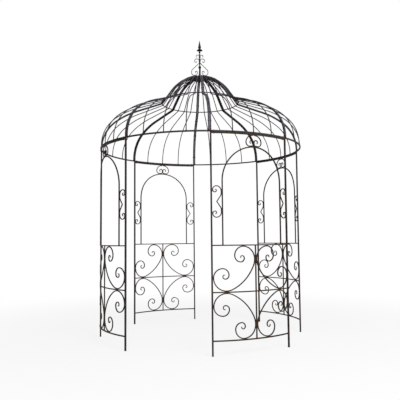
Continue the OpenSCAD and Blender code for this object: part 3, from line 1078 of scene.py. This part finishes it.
def make_finial_scrolls():
    top = HUB_TOP - 0.007
    big = bar_line((0, top + 0.165, -44), [
        (0.110, 0), (0.048, -46), (0.004, 0),
        (0.034, -90), (0.034, -90), (0.015, -90), (0.011, -90), (0.008, -100),
    ], spacing=0.006)
    middle = bar_line((0, top + 0.190, 60), [(0.038, -60), (0.025, -90), (0.016, -90), (0.010, -120)])
    small = bar_line((0, top + 0.253, 0), [(0.026, 0), (0.013, -90), (0.013, -75)], spacing=0.005)
    lines = []
    for k in range(4):
        angle = RIB_TURN + 90 * k
        for line in (big, middle, small):
            placed = on_roof([p for p in line if p[0] > 0.005], angle)
            lines.append(placed)
            out = outward(angle)
            weld_round("roof", placed[0][0], out, (0, 0, 1), FINIAL_SCROLL / 2, FINIAL_TACK)
    piece = bars("finial_scroll_bars", lines, FINIAL_SCROLL, FINIAL_IRON, corner=0.001, waver=0.0003,
                 tips=((0, 1), FINIAL_TIP))
    return piece, "finial_scrolls", "roof_iron"


# ---------------------------------------------------------------- putting it together


def one_piece(name, parts):
    """Joins parts into one mesh."""
    whole = bmesh.new()
    materials = []
    for part in parts:
        first = len(materials)
        materials += [m for m in part.data.materials]
        count = len(whole.faces)
        whole.from_mesh(part.data)
        whole.faces.ensure_lookup_table()
        for face in whole.faces[count:]:
            face.material_index += first
        bpy.data.objects.remove(part)
    mesh = bpy.data.meshes.new(name)
    whole.to_mesh(mesh)
    whole.free()
    for material in materials:
        mesh.materials.append(material)
    return put(name, mesh)


RUST_REACH = 0.03
WELD_WAVER = 0.0009


def mark_near_welds(piece, tree):
    """Stores how near each point is to a weld, so that rust spreads from there."""
    values = []
    for vertex in piece.data.vertices:
        _, _, distance = tree.find(vertex.co)
        values.append(max(0.0, 1.0 - distance / RUST_REACH))
    give(piece.data, "near_weld", "FLOAT", values)


made = []
for panel, toward in PANELS.items():
    made.append(make_post(panel, "left", toward))
    made.append(make_post(panel, "right", toward))
    made.append(make_rails(panel, toward))
    made.append(make_scrolls(panel, toward))
    made.append(make_arch(panel, toward))
    made.append(make_ornaments(panel, toward))
for name, angle in RIBS.items():
    made.append(make_rib(name, angle))
for name, toward in ROD_FIELDS.items():
    made.append(make_rods(name, toward))
made += [make_roof_ring(), make_neck_ring(), make_hub(), make_finial(), make_finial_scrolls()]

weld_places = KDTree(sum(len(group) for group in welds.values()))
for index, point in enumerate(point for group in welds.values() for point in group):
    weld_places.insert(point[0], index)
weld_places.balance()

for piece, node, slot in made:
    mark_near_welds(piece, weld_places)
    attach(piece, "root")
    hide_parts(node)

for where, points in welds.items():
    piece = on_points(where + "_weld_beads", points, WELD_BEAD, {"Waver": WELD_WAVER, "Finish": WELD_IRON})
    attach(piece, "root")
for name, points, grip in (("rib_bolts", bolts, 2 * RIB + RIB_GAP), ("ring_bolts", ring_bolts, 2 * RING)):
    piece = on_points(name, points, BOLT, {"Grip": grip, "Head": BOLT_HEAD, "Finish": BOLT_IRON})
    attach(piece, "root")

# ---------------------------------------------------------------- floor, light and camera


WHITE = (1, 1, 1, 1)
FLOOR_REACH = 30
FLOOR_MATT = (0.94, 0.94, 0.94, 1)
# How far from the axis the floor's own shading fades out, and the share of white close by
FADE_FROM, FADE_TO, NEAR_WHITE = 1.4, 5.0, 0.78
SKY_LIGHT = 0.42


def seen_directly(tree):
    """1 for what the camera sees, also in a shine or through glass, and 0 for light thrown on the piece."""
    ray = add(tree, "ShaderNodeLightPath")
    shone = maths(tree, "MAXIMUM", ray.outputs["Is Camera Ray"], ray.outputs["Is Glossy Ray"])
    return maths(tree, "MAXIMUM", shone, ray.outputs["Is Transmission Ray"])


def make_floor():
    mesh = bpy.data.meshes.new("floor")
    corners = [(x * FLOOR_REACH, y * FLOOR_REACH, 0) for x, y in ((-1, -1), (1, -1), (1, 1), (-1, 1))]
    mesh.from_pydata(corners, [], [(0, 1, 2, 3)])
    material = bpy.data.materials.new("pale_floor")
    material.use_nodes = True
    tree = material.node_tree
    tree.nodes.clear()
    place = add(tree, "ShaderNodeTexCoord")
    away = add(tree, "ShaderNodeVectorMath", {0: place.outputs["Object"]}, operation="LENGTH")
    far = ramp(tree, away.outputs["Value"], FADE_FROM, FADE_TO, to_low=NEAR_WHITE)
    factor = times(tree, seen_directly(tree), far)
    matt = add(tree, "ShaderNodeBsdfDiffuse", {"Color": FLOOR_MATT})
    white = add(tree, "ShaderNodeEmission", {"Color": WHITE, "Strength": 1.0})
    both = add(tree, "ShaderNodeMixShader", {0: factor, 1: matt.outputs[0], 2: white.outputs[0]})
    add(tree, "ShaderNodeOutputMaterial", {"Surface": both.outputs[0]})
    mesh.materials.append(material)
    put("floor", mesh)


def make_world():
    world = bpy.data.worlds.new("studio")
    bpy.context.scene.world = world
    world.use_nodes = True
    tree = world.node_tree
    tree.nodes.clear()
    strength = add(tree, "ShaderNodeMapRange", {
        "Value": seen_directly(tree), "To Min": SKY_LIGHT, "To Max": 1.0,
    })
    sky = add(tree, "ShaderNodeBackground", {"Color": WHITE, "Strength": strength.outputs[0]})
    add(tree, "ShaderNodeOutputWorld", {"Surface": sky.outputs[0]})


LAMP_TARGET = Vector((0, 0, 1.4))
LAMP_SIZE = 4.0


def make_lamp(name, place, power):
    lamp = bpy.data.lights.new(name, "AREA")
    lamp.shape = "DISK"
    lamp.size = LAMP_SIZE
    lamp.energy = power
    holder = bpy.data.objects.new(name, lamp)
    bpy.context.scene.collection.objects.link(holder)
    holder.location = place
    holder.rotation_euler = (LAMP_TARGET - Vector(place)).to_track_quat("-Z", "Y").to_euler()


# Degrees round from the front, metres from the axis, metres up, then turn aside, tilt up and roll in degrees
CAMERA_AROUND, CAMERA_AWAY, CAMERA_HEIGHT = 18.01, 5.803, 1.041
CAMERA_ASIDE, CAMERA_TILT, CAMERA_ROLL = 0.10, 4.29, -0.50
SENSOR_WIDTH, FOCAL_LENGTH = 36, 46.8675


def make_camera():
    """The camera stands about a metre up, in front and a little to the right."""
    turn = math.radians(CAMERA_AROUND + CAMERA_ASIDE)
    rise, roll = math.radians(CAMERA_TILT), math.radians(CAMERA_ROLL)
    camera = bpy.data.cameras.new("camera")
    camera.sensor_width = SENSOR_WIDTH
    camera.lens = FOCAL_LENGTH
    holder = bpy.data.objects.new("camera", camera)
    bpy.context.scene.collection.objects.link(holder)
    forward = Vector((-math.sin(turn) * math.cos(rise), math.cos(turn) * math.cos(rise), math.sin(rise)))
    right = forward.cross(Vector((0, 0, 1))).normalized()
    up = right.cross(forward)
    tilted_right = right * math.cos(roll) + up * math.sin(roll)
    tilted_up = up * math.cos(roll) - right * math.sin(roll)
    matrix = Matrix((tilted_right, tilted_up, -forward)).transposed().to_4x4()
    matrix.translation = (
        sine(CAMERA_AROUND) * CAMERA_AWAY, -cosine(CAMERA_AROUND) * CAMERA_AWAY, CAMERA_HEIGHT)
    holder.matrix_world = matrix
    bpy.context.scene.camera = holder


make_floor()
make_world()
make_lamp("key", (4.2, -4.4, 5.6), power=340)
make_lamp("fill", (-5.5, -3.0, 4.5), power=30)
make_camera()
bpy.context.scene.view_settings.view_transform = "Standard"
